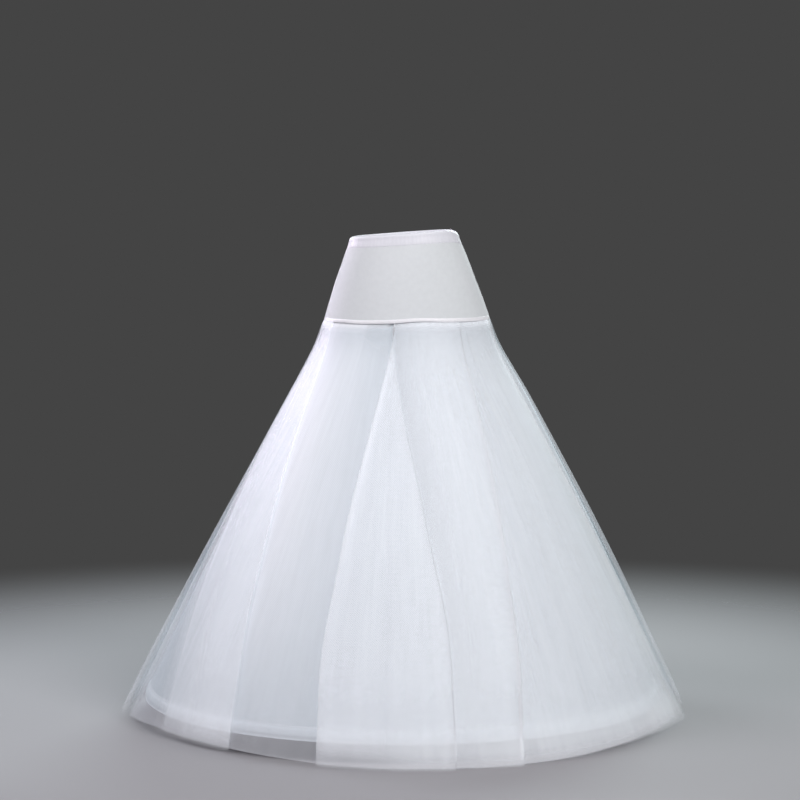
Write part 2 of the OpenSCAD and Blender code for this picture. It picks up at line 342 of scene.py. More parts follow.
# %% Cloth from a grid of points
def new_piece(name, mesh, material, nodes=()):
    """Put a finished mesh in the scene, on the part's one body, in place of the CAD nodes named."""
    piece = bpy.data.objects.new(name, mesh)
    scene.collection.objects.link(piece)
    if material:
        mesh.materials.clear()
        mesh.materials.append(material)
    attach(piece, "root")
    if nodes:
        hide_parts(*nodes)
    print(f"{name}: {sum(len(p.vertices) - 2 for p in mesh.polygons)} triangles")
    return piece


def lengths_along(points, axis):
    steps = np.linalg.norm(np.diff(points, axis=axis), axis=-1)
    return np.insert(np.cumsum(steps, axis=axis), 0, 0, axis=axis)


def cloth_mesh(name, points):
    """A smooth mesh from points[row][column], with lengths in metres as its UV map."""
    rows, columns, _ = points.shape
    number = np.arange(rows * columns).reshape(rows, columns)
    corners = [number[:-1, :-1], number[1:, :-1], number[1:, 1:], number[:-1, 1:]]
    quads = np.stack(corners, -1).reshape(-1, 4)
    mesh = bpy.data.meshes.new(name)
    mesh.from_pydata(points.reshape(-1, 3).tolist(), [], quads.tolist())
    across, along = lengths_along(points, 1), lengths_along(points, 0)
    middle = across - across[:, [columns // 2]]
    uv = np.stack([middle, -along], -1).reshape(-1, 2)[quads.reshape(-1)]
    mesh.uv_layers.new(name="UVMap").data.foreach_set("uv", uv.ravel())
    mesh.polygons.foreach_set("use_smooth", np.ones(len(quads), bool))
    mesh.update()
    return mesh


def area_of(mesh):
    return sum(p.area for p in mesh.polygons)


# %% [markdown]
# ## Yoke
# Two panels of knit, stretched from the elastic to the hips. The plain solids are too stiff for a knit,
# so the panels are lofts over the rings, with shallow pulls where the knit is tight, and a raised seam at
# each side where the two are overlocked together.

# %% Yoke
YOKE_TOP = 984.0


def yoke_panel(name, middle, node):
    side = 90 * np.sin(np.linspace(-90, 90, 161) * math.pi / 180)
    azimuth = (middle + side)[None, :]
    z = np.linspace(YOKE_TOP, SEAM_Z, 60)[:, None]
    reach = np.radians(90 - np.abs(side))[None, :] * half_width(z)
    seam = 1.1 * np.exp(-(reach / 2.2) ** 2)
    pulls = 0.35 * np.sin(np.radians(9 * azimuth) + z / 17) * arch(up(z)) * np.exp(-(reach / 60) ** 2)
    slack = 0.3 * np.sin(np.radians(5 * azimuth) - z / 31) * arch(up(z))
    mesh = cloth_mesh(name, on_garment(azimuth, seam + pulls + slack, z))
    piece = new_piece(name, mesh, yoke_knit, [node])


yoke_panel("yoke_front_knit", 0, "yoke_front")
yoke_panel("yoke_back_knit", 180, "yoke_back")

# %% [markdown]
# ## Waistband and seam tape
# Strips that run round the garment are a section carried round its ring. A bevelled curve could do that,
# but its section would stay the same all the way. The waistband is one strip folded over the elastic,
# whose pull makes small puckers. The seam tape is a rounded fold, flatter at the sides, where it is
# pulled tight, with its end lapped over its start.

# %% Waistband
def ring_mesh(name, section, place):
    """A closed ring from a section of points, each put in place by a function of all azimuths."""
    azimuth = np.linspace(-180, 180, 721)
    return cloth_mesh(name, np.stack([place(azimuth, *corner) for corner in section]))


def band_place(azimuth, outside, z):
    pucker = 0.08 * np.sin(np.radians(88 * azimuth)) + 0.1 * np.sin(np.radians(37 * azimuth + 40))
    return on_garment(azimuth, outside + pucker * np.sign(outside + 0.6), z + 0 * azimuth)


BAND = [(-2.6, 979), (-2.8, 988), (-2.9, 993.5), (-2.5, 997.5), (-1.4, 1000.2), (0.2, 1001), (1.8, 1000),
        (2.4, 997.6), (2.1, 995.6), (1.6, 993.5), (1.3, 990), (1.1, 986), (0.9, 983), (0.65, 980.5),
        (0.4, 978.8), (0.1, 977.8)]
band_mesh = ring_mesh("waistband_satin", BAND, band_place)
waistband = new_piece("waistband_satin", band_mesh, band_satin, ["waistband"])

# %% Seam tape
TAPE_Z, TAPE_HALF_H, TAPE_OUT, TAPE_HALF_T = 825.6, 3.8, 0.9, 1.1
LAP_START, LAP_END = 34.4, 43


def tape_place(azimuth, outside, z):
    wave = 0.5 * np.sin(np.radians(7 * azimuth + 30)) + 0.3 * np.sin(np.radians(12 * azimuth - 20))
    lapped = 0.5 * np.clip((azimuth - LAP_START) / 0.3, 0, 1) * np.clip((LAP_END - azimuth) / 6, 0, 1)
    flat = 1 - 0.7 * np.sin(np.radians(azimuth)) ** 6
    proud = (outside + lapped) * flat + 0.12 * np.sin(np.radians(61 * azimuth))
    return on_garment(azimuth, np.where(outside > 0.5, proud, outside), z + wave)


turns = np.radians(np.arange(0, 361, 24)) + 0.01
rise = np.sin(turns) * np.abs(np.sin(turns)) ** -0.2
TAPE = np.stack([TAPE_OUT + TAPE_HALF_T * np.cos(turns), TAPE_Z - TAPE_HALF_H * rise], -1)
tape_mesh = ring_mesh("seam_tape_satin", TAPE, tape_place)
seam_tape = new_piece("seam_tape_satin", tape_mesh, seam_satin, ["yoke_binding"])

# %% [markdown]
# ## How the layers lie
# Under the yoke the cloths lie one in the other. These are the gaps between them, from the outside in.
# They grow towards the hem, where the folds are deepest.

# %% Depths of the layers
NET_T, FOLD_DEPTH, KNIT_T = 0.8, 18.0, 1.2
CLEAR, FACET_ROOM, TULLE_GAP, LINING_GAP = 0.3, 0.9, 3.0, 9.0


def fold_gap(z):
    return mix(NET_T + CLEAR, FOLD_DEPTH / 2, down(z))


def outer_inset(z):
    return mix(KNIT_T + FACET_ROOM, 0, down(z)) + NET_T / 2


def under_inset(z):
    return outer_inset(z) + 2 * fold_gap(z) + NET_T + mix(FACET_ROOM, TULLE_GAP, np.sqrt(down(z)))


def lining_inset(z):
    return under_inset(z) + NET_T + mix(CLEAR, LINING_GAP, down(z))


print("insets at the hem:", [round(float(f(0.0)), 1) for f in (outer_inset, under_inset, lining_inset)])

# %% [markdown]
# ## Hoop casing
# A tape on the lining's slope, stitched along both edges, with a tunnel for the hoop between them. Its
# section is given along the slope and out from it. The stitches pull it into small puckers.

# %% Hoop casing
LINING_HEM = 42.0


def lining_ring(z):
    return np.array([half_width(z) - lining_inset(z), z])


low = lining_ring(LINING_HEM)
slope_up = lining_ring(ROUND_Z) - low
slope_up = slope_up / np.linalg.norm(slope_up)
slope_out = np.array([slope_up[1], -slope_up[0]])


def casing_place(azimuth, along, out):
    turn = np.radians(azimuth)
    pucker = 0.35 * np.sin(np.radians(150 * azimuth)) * (out > 1) + 0.3 * np.sin(np.radians(23 * azimuth))
    radius = low[0] + along * slope_up[0] + (out + pucker) * slope_out[0]
    height = low[1] + along * slope_up[1] + (out + pucker) * slope_out[1]
    return np.stack([radius * np.sin(turn), -radius * np.cos(turn), height], -1) / 1000


CASING = [(28.0, 0.6), (26.6, 1.3), (24.4, 1.0), (22.0, 2.9), (19.5, 4.0), (16.0, 4.3), (12.0, 4.3),
          (8.5, 4.0), (6.0, 2.9), (3.6, 1.0), (1.4, 1.3), (0.0, 0.6)]
casing_mesh = ring_mesh("hoop_casing_tape", CASING, casing_place)
casing = new_piece("hoop_casing_tape", casing_mesh, casing_tape, ["hoop_casing"])

# %% [markdown]
# ## Plain skirts with Geometry Nodes
# Lining and under tulle are the same rule four times over: a gore of a quarter turn between two straight
# seams. A curve holds the rule. Its points are not places but sizes: half width, half depth and height of
# each ring. The tree bends a grid round those rings, and a little noise along the outward direction
# wrinkles the cloth. Lofts by hand would do as well, but one tree with named inputs makes both skirts.

# %% Starting and ending a tree
def start_tree(name, inputs):
    """A new tree, the identifiers of its named inputs, and the sockets that bring them in."""
    tree = bpy.data.node_groups.new(name, "GeometryNodeTree")
    face = tree.interface
    face.new_socket("Geometry", in_out="OUTPUT", socket_type="NodeSocketGeometry")
    sockets = {}
    for label, kind in inputs.items():
        sockets[label] = face.new_socket(label, in_out="INPUT", socket_type="NodeSocket" + kind).identifier
    return tree, sockets, tree.nodes.new("NodeGroupInput").outputs


def end_tree(tree, geometry, material):
    smooth = add(tree, "GeometryNodeSetShadeSmooth", {"Geometry": geometry})
    real = add(tree, "GeometryNodeRealizeInstances", {"Geometry": smooth.outputs[0]})
    dressed = add(tree, "GeometryNodeSetMaterial", {"Geometry": real.outputs[0], "Material": material})
    add(tree, "NodeGroupOutput", {"Geometry": dressed.outputs[0]})


print("trees so far:", len(bpy.data.node_groups))

# %% A tree for one gore: its rings
gore_tree, gore_sockets, given = start_tree("skirt gore", {
    "Profile": "Object", "Middle": "Float", "Spread": "Float", "Columns": "Int", "Rows": "Int",
    "Wrinkle": "Float", "Wrinkle scale": "Float", "Material": "Material"})
grid = add(gore_tree, "GeometryNodeMeshGrid", {
    "Size X": 1.0, "Size Y": 1.0, "Vertices X": given["Columns"], "Vertices Y": given["Rows"]})
place = add(gore_tree, "GeometryNodeInputPosition").outputs[0]
spot = add(gore_tree, "ShaderNodeSeparateXYZ", {0: place})
turn = maths(gore_tree, "MULTIPLY_ADD", spot.outputs["X"], given["Spread"], given["Middle"])
share = maths(gore_tree, "SUBTRACT", 0.5, spot.outputs["Y"])
rule = add(gore_tree, "GeometryNodeObjectInfo", {"Object": given["Profile"]})
ring = add(gore_tree, "GeometryNodeSampleCurve",
           {"Curves": rule.outputs["Geometry"], "Factor": share}, mode="FACTOR")
size = add(gore_tree, "ShaderNodeSeparateXYZ", {0: ring.outputs["Position"]})
sine = maths(gore_tree, "SINE", turn)
ahead = maths(gore_tree, "MULTIPLY", maths(gore_tree, "COSINE", turn), -1.0)
x = maths(gore_tree, "MULTIPLY", sine, size.outputs["X"])
y = maths(gore_tree, "MULTIPLY", ahead, size.outputs["Y"])
point = add(gore_tree, "ShaderNodeCombineXYZ", {0: x, 1: y, 2: size.outputs["Z"]}).outputs[0]
print("gore tree:", len(gore_sockets), "inputs")

# %% A tree for one gore: its wrinkles and UV map
HANG = (1.0, 1.0, 0.22)   # the wrinkles are about five times as long as they are wide
outward = add(gore_tree, "ShaderNodeCombineXYZ", {0: sine, 1: ahead}).outputs[0]
hung = vector_maths(gore_tree, "MULTIPLY", point, HANG)
noise = add(gore_tree, "ShaderNodeTexNoise",
            {"Vector": hung, "Scale": given["Wrinkle scale"], "Detail": 1.5})
centred = maths(gore_tree, "SUBTRACT", noise.outputs["Fac"], 0.5)
push = maths(gore_tree, "MULTIPLY", centred, maths(gore_tree, "MULTIPLY", share, given["Wrinkle"]))
offset = add(gore_tree, "ShaderNodeVectorMath", {0: outward, "Scale": push}, operation="SCALE").outputs[0]
u = maths(gore_tree, "MULTIPLY", turn, size.outputs["X"])
uv = add(gore_tree, "ShaderNodeCombineXYZ", {0: u, 1: size.outputs["Z"]}).outputs[0]
laid_out = add(gore_tree, "GeometryNodeStoreNamedAttribute",
               {"Geometry": grid.outputs["Mesh"], "Name": "UVMap", "Value": uv},
               data_type="FLOAT2", domain="CORNER")
bent = add(gore_tree, "GeometryNodeSetPosition",
           {"Geometry": laid_out.outputs[0], "Position": point, "Offset": offset})
end_tree(gore_tree, bent.outputs[0], given["Material"])
print("gore tree:", len(gore_tree.nodes), "nodes")

# %% Run a tree and keep its mesh
def curve_object(name, lines, closed):
    """A curve object with one straight-sided spline for each list of points in metres."""
    data = bpy.data.curves.new(name, "CURVE")
    data.dimensions = "3D"
    for line in lines:
        spline = data.splines.new("POLY")
        spline.points.add(len(line) - 1)
        spline.points.foreach_set("co", np.insert(np.asarray(line), 3, 1, axis=1).ravel())
        spline.use_cyclic_u = closed
    guide = bpy.data.objects.new(name, data)
    scene.collection.objects.link(guide)
    return guide


def mesh_from_tree(name, tree, sockets, values):
    """Evaluate a tree with these inputs, set by their sockets' identifiers, and return a plain mesh."""
    maker = bpy.data.objects.new(name + "_maker", bpy.data.meshes.new(name + "_maker"))
    scene.collection.objects.link(maker)
    modifier = maker.modifiers.new("nodes", "NODES")
    modifier.node_group = tree
    for label, value in values.items():
        modifier[sockets[label]] = value
    mesh = bpy.data.meshes.new_from_object(maker.evaluated_get(bpy.context.evaluated_depsgraph_get()))
    mesh.name = name
    bpy.data.objects.remove(maker)
    return mesh


# %% [markdown]
# The hips have shifted, so a finished skirt shifts with them, and a net is never cut quite level, so its
# hem rises a little in places. The list gives azimuths and how many millimetres the hem rises there.

# %% Lining and under tulle
HEM_RISE = [(-180, 8), (-130, 10), (-96, 2), (-86, 4), (-74, 17), (-60, 25), (-45, 22), (-30, 15), (-15, 6),
            (0, 2), (15, 0), (30, 1), (45, 7), (58, 12), (70, 13), (84, 3), (96, 2), (130, 10), (180, 8)]


def settle(mesh, swaying, rising):
    """Shift a plain skirt with the hips, or lift a net's hem."""
    points = np.empty(3 * len(mesh.vertices))
    mesh.vertices.foreach_get("co", points)
    points = points.reshape(-1, 3)
    if swaying:
        points[:, 0] += sway(1000 * points[:, 2]) / 1000
    if rising:
        rise = np.interp(np.degrees(np.arctan2(points[:, 0], -points[:, 1])), *zip(*HEM_RISE))
        points[:, 2] += rise / 1000 * down(1000 * points[:, 2]) ** 4
    mesh.vertices.foreach_set("co", points.ravel())
    mesh.update()


def plain_skirt(kind, cloth, inset, hem_z, wrinkle, material):
    heights = np.linspace(SEAM_Z + 8, hem_z, 120)
    rings = [half_width(heights) - inset(heights), half_depth(heights) - inset(heights), heights]
    profile = curve_object(kind + "_profile", [np.stack(rings, -1) / 1000], False)
    for name, middle in (("front", 0), ("left", 90), ("back", 180), ("right", 270)):
        mesh = mesh_from_tree(f"{kind}_{name}_{cloth}", gore_tree, gore_sockets, {
            "Profile": profile, "Middle": math.radians(middle), "Spread": math.radians(89.9),
            "Columns": 65, "Rows": 90, "Wrinkle": wrinkle / 1000, "Wrinkle scale": 9.0,
            "Material": material})
        settle(mesh, True, cloth == "net")
        piece = new_piece(mesh.name, mesh, None, [f"{kind}_{name}"])
        print("  area", round(area_of(mesh), 3), "square metres")
    bpy.data.objects.remove(profile)


plain_skirt("lining", "taffeta", lining_inset, LINING_HEM, 5.0, taffeta)
plain_skirt("under_tulle", "net", under_inset, 0.0, 2.0, under_net)

# %% [markdown]
# ## Folded tulle
# The outer tulle is what the eye sees first. It hangs in box pleats, whose two edges run apart down the
# skirt, and in single pleats between them. A pleat's edge is a line from the seam to the hem, given by
# its azimuths at four stops. The side is 1 where the cloth before the line laps over, and -1 where the
# cloth after it does. The next number is painted shade: it says how much the net beside the line is
# thinned, so that the grey lining shows darker there, as in the shade beside a fold. The last two say by
# how much and over how many millimetres the fold thins out at its edge.
# A cloth simulation would need the real cut, and would lose the lines of this garment, so the folds are
# drawn.

# %% Lines of the pleats
STOPS = np.sqrt([0, 0.12, 0.4, 1.0])
RIGHT_SEAM, LEFT_SEAM = (-92, -92, -91, -80), (88, 88, 89, 91)
BACK_SEAM, BACK_SEAM_TURNED = (180,) * 4, (-180,) * 4
Pleat = namedtuple("Pleat", "line side opened thin fade")
FRONT_PLEATS = [
    Pleat((-88, -87, -80, -57.5), -1, 0.9, 0.85, 130),
    Pleat((-61, -57.5, -48.5, -35.5), 1, 0.0, 0.3, 60),
    Pleat((-8.5, -11.5, -17.6, -16), -1, 0.4, 0.0, 16),
    Pleat((-7.5, -5, 5.2, 10.2), 1, 0.32, 0.05, 16),
    Pleat((38, 36.5, 32.5, 23.5), 1, 0.12, 0.0, 16),
    Pleat((76, 79, 82, 86), 1, 0.3, 0.3, 16),
]


def box_pleats(*lines):
    """Box pleats from pairs of lines: the cloth after the first and before the second laps over."""
    return [Pleat(line, side, 0.3, 0.2, 16) for line, side in zip(lines, (-1, 1) * (len(lines) // 2))]


BACK_LEFT_PLEATS = box_pleats(
    (94, 95, 95, 96), (128, 129, 131, 134), (146, 147, 148, 149), (168, 169, 170, 172))
BACK_RIGHT_PLEATS = box_pleats(
    (-168, -169, -170, -172), (-146, -147, -148, -149), (-128, -129, -131, -134), (-97, -97, -96, -88))


def line_angle(line, z):
    """Azimuths down a line of the skirt, through its four stops. Only a straight seam doesn't waver."""
    curve = np.polyval(np.polyfit(STOPS, line, 3), np.sqrt(down(z)))
    if line[0] == line[-1]:
        return curve
    return curve + (0.35 * np.sin(z / 95 + line[0]) + 0.25 * np.sin(z / 41 + 2 * line[-1])) * down(z)


print("front pleats at the hem:", [round(float(line_angle(p.line, 0.0)), 1) for p in FRONT_PLEATS])

# %% [markdown]
# Across each row, marks say at which azimuth the cloth is and in which layer of the fold: 0 outside, 1 on
# its way back, 2 inside. A box pleat's cloth turns sharply at the edge, runs back to the middle of the
# box and turns there again. A single pleat rises out of the inner layer and folds back under itself.

# %% Marks of the folds
NOSE, CREASE = 0.8, 0.32   # length of a soft turn and of a sharp one, as shares of the gap between layers


def degrees_of(length, z):
    return np.degrees(length / mean_radius(z))


def ease(share):
    return share * share * (3 - 2 * share)


def box_marks(edge, side, lap, z):
    """Marks (azimuth, layer) round one edge of a box pleat, which runs back from it by its lap."""
    crease, nose = degrees_of(CREASE * fold_gap(z), z), degrees_of(NOSE * fold_gap(z), z)
    near, far = np.minimum(nose, 0.25 * lap), np.minimum(3 * nose, 0.6 * lap)
    marks = [(-lap, 0), (-crease, 0), (0 * z, 0.5), (-crease, 1), (far - lap, 1.08), (near - lap, 1.3),
             (-lap, 1.5), (near - lap, 1.7), (far - lap, 1.92), (0 * z, 2)]
    marks = [(edge + side * reach, layer + 0 * z) for reach, layer in marks]
    return marks if side > 0 else marks[::-1]


def single_marks(start, edge, z):
    """Marks of a single pleat that rises from an inner layer, with its own two layers wedged under it."""
    crease = degrees_of(CREASE * fold_gap(z), z)
    out = [(f, 2 - 2 * ease(f)) for f in (0.12, 0.26, 0.4, 0.55, 0.7, 0.85)]
    back = [(f, 2 - ease(f)) for f in (0.8, 0.55, 0.3, 0.08)]
    inner = [(-0.003, 2.03), (0.03, 2.1), (0.1, 2.15), (0.35, 2.1), (0.65, 2.05), (1, 2)]
    marks = [(mix(start, edge, f), layer) for f, layer in out]
    marks += [(edge - crease, 0), (edge, 0.5), (edge - crease, 1)]
    marks += [(mix(start, edge, f), layer) for f, layer in back + inner]
    return [(azimuth, layer + 0 * z) for azimuth, layer in marks]


def is_single(pleats, i):
    """A single pleat follows an edge that laps the same way, so it has no mate to make a box with."""
    return pleats[i - pleats[i].side].side == pleats[i].side


# %% Marks across one width of tulle
def width_marks(start, pleats, end, z):
    """All marks across one width of tulle, as an array of [row][mark][azimuth, layer]."""
    edges = [line_angle(pleat.line, z) for pleat in pleats]
    marks = [(line_angle(start, z) + 0.02, 2 + 0 * z)]
    for i, edge in enumerate(edges):
        side = pleats[i].side
        mate = i - side
        if is_single(pleats, i):
            marks.extend(single_marks(edges[mate], edge, z))
            continue
        pleat = box_marks(edge, side, abs(edge - edges[mate]) / 2, z)
        if side < 0:
            marks.extend((mix(marks[-1][0], pleat[0][0], f), 2 + 0 * z) for f in (0.25, 0.5, 0.75))
        marks.extend(pleat)
    last = line_angle(end, z) - 0.02
    marks.extend((mix(marks[-1][0], last, f), 2 + 0 * z) for f in (0.25, 0.5, 0.75, 1))
    return np.stack([np.stack(mark, -1) for mark in marks], 1)


front_marks = width_marks(RIGHT_SEAM, FRONT_PLEATS, LEFT_SEAM, np.array([800.0, 0.0]))
print("front width:", front_marks.shape[1], "marks in a row")

# %% [markdown]
# The curve through the marks is a centripetal Catmull-Rom spline, because it makes no loops where a long
# step meets a short one. It is drawn in real lengths, along the row and into the fold, and put round the
# garment. Soft ripples go on top. They push all the layers together, so the folds keep their gaps.

# %% Smooth rows and ripples
def smooth_rows(points, per_step):
    """A centripetal curve through points[row][mark][2], with some samples in each step."""
    before = 2 * points[:, :1] - points[:, 1:2]
    after = 2 * points[:, -1:] - points[:, -2:-1]
    p = np.concatenate([before, points, after], 1)
    gap = np.maximum(np.linalg.norm(np.diff(p, axis=1), axis=-1, keepdims=True), 1e-4) ** 0.5
    d0, d1, d2 = gap[:, :-2], gap[:, 1:-1], gap[:, 2:]
    p0, p1, p2, p3 = p[:, :-3], p[:, 1:-2], p[:, 2:-1], p[:, 3:]
    m1 = (p1 - p0) / d0 - (p2 - p0) / (d0 + d1) + (p2 - p1) / d1
    m2 = (p2 - p1) / d1 - (p3 - p1) / (d1 + d2) + (p3 - p2) / d2
    pieces = []
    for t in np.arange(per_step) / per_step:
        pieces.append((2 * t**3 - 3 * t**2 + 1) * p1 + (t**3 - 2 * t**2 + t) * d1 * m1
                      + (3 * t**2 - 2 * t**3) * p2 + (t**3 - t**2) * d1 * m2)
    inside = np.stack(pieces, 2).reshape(len(points), -1, 2)
    return np.concatenate([inside, points[:, -1:]], 1)


def ripple(azimuth, z):
    """Soft waves of the hanging net, in millimetres outwards."""
    a, d = np.radians(azimuth), down(z)
    long_waves = np.sin(9 * a + 1.3 + 1.1 * d) + 0.7 * np.sin(16 * a - 0.6 - 1.9 * d)
    long_waves = long_waves + 0.5 * np.sin(27 * a + 2.2 * d)
    short_waves = np.sin(43 * a + 5.0 * d + 0.7) * np.sin(3 * a + 4 * d)
    return d * (1.6 + 1.5 * long_waves + 0.5 * short_waves)


def stand_out(azimuth, z):
    """Where the net stands away from the garment: puffed under the seam, and loose at the wearer's left."""
    below = np.maximum(SEAM_Z - z, 0)
    gathers = 0.5 * np.sin(np.radians(70 * azimuth)) + 0.4 * np.sin(np.radians(113 * azimuth + 50))
    puff = 3.4 * np.exp(-(below / 28) ** 2) + gathers * np.minimum(below / 12, np.exp(-below / 70))
    side = np.interp(from_front(azimuth), [90, 97, 115, 140], [0, 1, 1, 0])
    loose = np.interp(down(z), [0, 0.05, 0.11, 0.18, 0.3, 0.5, 0.9, 1], [0, 3, 9, 13, 15, 17, 18, 15])
    return puff + side * loose


print("ripples at the hem:", round(float(np.ptp(ripple(np.arange(360.0), 0.0))), 1), "mm from low to high")

# %% [markdown]
# The number that the tulle's finish reads is 1 for plain net and more where it is crowded. The folds of
# such a net are seen by it as much as by their shape: the net is close at the hips, in the gathers right
# under the seam and in the hollow of a box, and sheer at the hem. Beside a fold, and beside the front box
# under the seam, it is thinned as painted shade, so that the grey lining shows darker where the folds cast
# their shade.

# %% How crowded the net is
def seam_crowding_and_shade(azimuth, z):
    """Crowded by the gathers right under the seam and open below them; beside the front box it is thinned
    still more, as painted shade.
    """
    below = np.maximum(SEAM_Z - z, 0)
    # Painted shade: a thinner net beside the front box lets the grey lining show darker under the seam.
    shade_by_box = 0.35 * hump(azimuth, -21, 8) * np.exp(-(below / 45) ** 2)
    return 1 - shade_by_box - 0.68 * np.exp(-below / 60) + 1.2 * np.exp(-(below / 9) ** 2)


def hem_crowding(azimuth, z):
    """Sheer at the hem and closer above it, with the sheerest strip under the front box."""
    heights = [0, 6, 14, 24, 33, 45, 90]
    sheer = np.interp(z, heights, [-0.5, -0.5, -0.45, -0.2, 0.05, 0.18, 0])
    plain = np.interp(z, heights, [-0.4, -0.3, 0, 0.2, 0.3, 0.25, 0])
    return mix(plain, sheer, hump(azimuth, -12, 14))


def crowding(azimuth, layer, pleats, z):
    """How crowded the net is at each point of a folded width, with painted shade beside the folds as
    thinner net.
    """
    d, inner, hollow = down(z), np.clip(layer - 1, 0, 1), np.ones_like(azimuth)
    close = 1 + 0.4 * (1 - d) * np.sin(np.radians(azimuth)) ** 4 + 0.3 * hump(azimuth, -50, 25) * arch(d)
    close = close - 0.24 * (1 - inner) * np.exp(-((z - 85) / 55) ** 2)
    close = close * seam_crowding_and_shade(azimuth, z)
    for i, pleat in enumerate(pleats):
        beside = pleat.side * np.radians(azimuth - line_angle(pleat.line, z)) * mean_radius(z)
        spread = np.exp(-(np.maximum(beside, 0) / (40 + 120 * d)) ** 2) * np.clip(1 + beside / 6, 0, 1)
        edge = np.exp(-(beside / pleat.fade) ** 2) * np.minimum(1, 1.3 * d)
        # Painted shade: the net beside a fold is thinned, so that the grey lining shows darker there.
        close = close * (1 - pleat.opened * (1 - 0.3 * d) * spread * inner)
        close = close * (1 - pleat.thin * edge * (1 - inner))
        empty = float(pleat.side > 0 and not (i + 1 < len(pleats) and is_single(pleats, i + 1)))
        hollow = mix(hollow, empty, np.clip(pleat.side * (beside + 14) / 10 + (pleat.side < 0), 0, 1))
    hollow = hollow * inner
    filled = hollow * np.interp(d, [0, 0.45, 0.7, 0.85, 1], [1.3, 1.2, 0.9, 0.35, -0.1])
    return close * (1 + filled + hem_crowding(azimuth, z) * (1 - hollow))


print("right under the seam the net is", round(float(seam_crowding_and_shade(0.0, SEAM_Z)), 2), "times as close")

# %% [markdown]
# A width of tulle is now put together: marks, curve, ripples, and the number for its finish. The garment
# has three such widths, which are joined at both sides and at the middle of the back.

# %% Outer tulle
def tulle_width(node, start, pleats, end):
    z = np.concatenate([[SEAM_Z + 2], np.linspace(SEAM_Z - 2, 1, 90)])
    marks = width_marks(start, pleats, end, z)
    z = z[:, None]
    lengths = [np.radians(marks[..., 0]) * mean_radius(z), marks[..., 1] * fold_gap(z)]
    drawn = smooth_rows(np.stack(lengths, -1), 6)
    azimuth, depth = np.degrees(drawn[..., 0] / mean_radius(z)), drawn[..., 1]
    outside = ripple(azimuth, z) + stand_out(azimuth, z) - outer_inset(z) - depth
    points = on_garment(azimuth, outside, z + 0 * azimuth)
    mesh = cloth_mesh(node + "_net", points)
    crowd = crowding(azimuth, depth / fold_gap(z), pleats, z).astype(np.float32)
    mesh.attributes.new("crowding", "FLOAT", "POINT").data.foreach_set("value", crowd.ravel())
    settle(mesh, False, True)
    piece = new_piece(mesh.name, mesh, outer_net, [node])
    hem = float(lengths_along(points[-1:], 1)[0, -1])
    print(f"  hem {hem:.2f} m round the folds, area {area_of(mesh):.2f} square metres")


tulle_width("outer_tulle_front", RIGHT_SEAM, FRONT_PLEATS, LEFT_SEAM)
tulle_width("outer_tulle_back_left", LEFT_SEAM, BACK_LEFT_PLEATS, BACK_SEAM)
tulle_width("outer_tulle_back_right", BACK_SEAM_TURNED, BACK_RIGHT_PLEATS, RIGHT_SEAM)

# %% [markdown]
# ## Stitches
# Each seam is held by rows of machine stitches. A bump could hint at them, but real thread stands out and
# catches the light. One small tree sets a thread's spindle at every step along a curve, so all the rows
# share one drawing. Machine stitches are about 2.5 mm long. These are 3 mm, and a little more on the
# casing, so that they show.

# %% A tree for a row of stitches
stitch_tree, stitch_sockets, given = start_tree("stitch row", {
    "Seam": "Object", "Pitch": "Float", "Stitch length": "Float", "Thread": "Float",
    "Material": "Material"})
seam_line = add(stitch_tree, "GeometryNodeObjectInfo", {"Object": given["Seam"]})
holes = add(stitch_tree, "GeometryNodeCurveToPoints",
            {"Curve": seam_line.outputs["Geometry"], "Length": given["Pitch"]}, mode="LENGTH")
spindle = add(stitch_tree, "GeometryNodeMeshUVSphere", {"Segments": 6, "Rings": 4, "Radius": 0.5})
shape = add(stitch_tree, "ShaderNodeCombineXYZ",
            {0: given["Thread"], 1: given["Thread"], 2: given["Stitch length"]})
row = add(stitch_tree, "GeometryNodeInstanceOnPoints", {
    "Points": holes.outputs["Points"], "Instance": spindle.outputs["Mesh"],
    "Rotation": holes.outputs["Rotation"], "Scale": shape.outputs[0]})
end_tree(stitch_tree, row.outputs[0], given["Material"])
print("stitch tree:", len(stitch_tree.nodes), "nodes")

# %% Rows of stitches
THREAD_T = 0.6


def stitches(name, lines, closed, pitch=4.0):
    guide = curve_object(name + "_guide", lines, closed)
    mesh = mesh_from_tree(name, stitch_tree, stitch_sockets, {
        "Seam": guide, "Pitch": pitch / 1000, "Stitch length": 0.75 * pitch / 1000,
        "Thread": THREAD_T / 1000, "Material": thread})
    bpy.data.objects.remove(guide)
    new_piece(name, mesh, None)


around = np.linspace(-180, 180, 720, endpoint=False)
stitches("waistband_stitches", [band_place(around, 0.75, 981.5)], True)
stitches("seam_tape_stitches", [tape_place(around, 1.9, TAPE_Z)], True)
casing_rows = [casing_place(around, along, 1.35) for along in (26.6, 1.4)]
stitches("casing_stitches", casing_rows, True, 5.0)
side_heights = np.linspace(976, 832, 60)
side_rows = [on_garment(np.array(azimuth), 1.2, side_heights) for azimuth in (-90.0, 90.0)]
stitches("yoke_seam_stitches", side_rows, False)

# %% [markdown]
# ## Hoop, sleeve and elastic
# The bone is a flat spring steel with a white nylon coat, and the sleeve that joins its ends is moulded
# nylon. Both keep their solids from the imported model. The elastic is woven round rubber threads, and it
# is a strip of its own, because it has to droop with the waistband that it fills.

# %% Finishes of the hoop and the sleeve
def coated(name, tones, roughness, grain, depth):
    material, tree, shader = start_material(name, Roughness=roughness, IOR=1.53)
    where = add(tree, "ShaderNodeTexCoord").outputs["Object"]
    spots = add(tree, "ShaderNodeTexNoise", {"Vector": where, "Scale": 1000 / grain, "Detail": 4.0})
    tone_and_bump(tree, shader, tones, spots.outputs["Fac"], spots.outputs["Fac"], depth, 0.4)
    return material


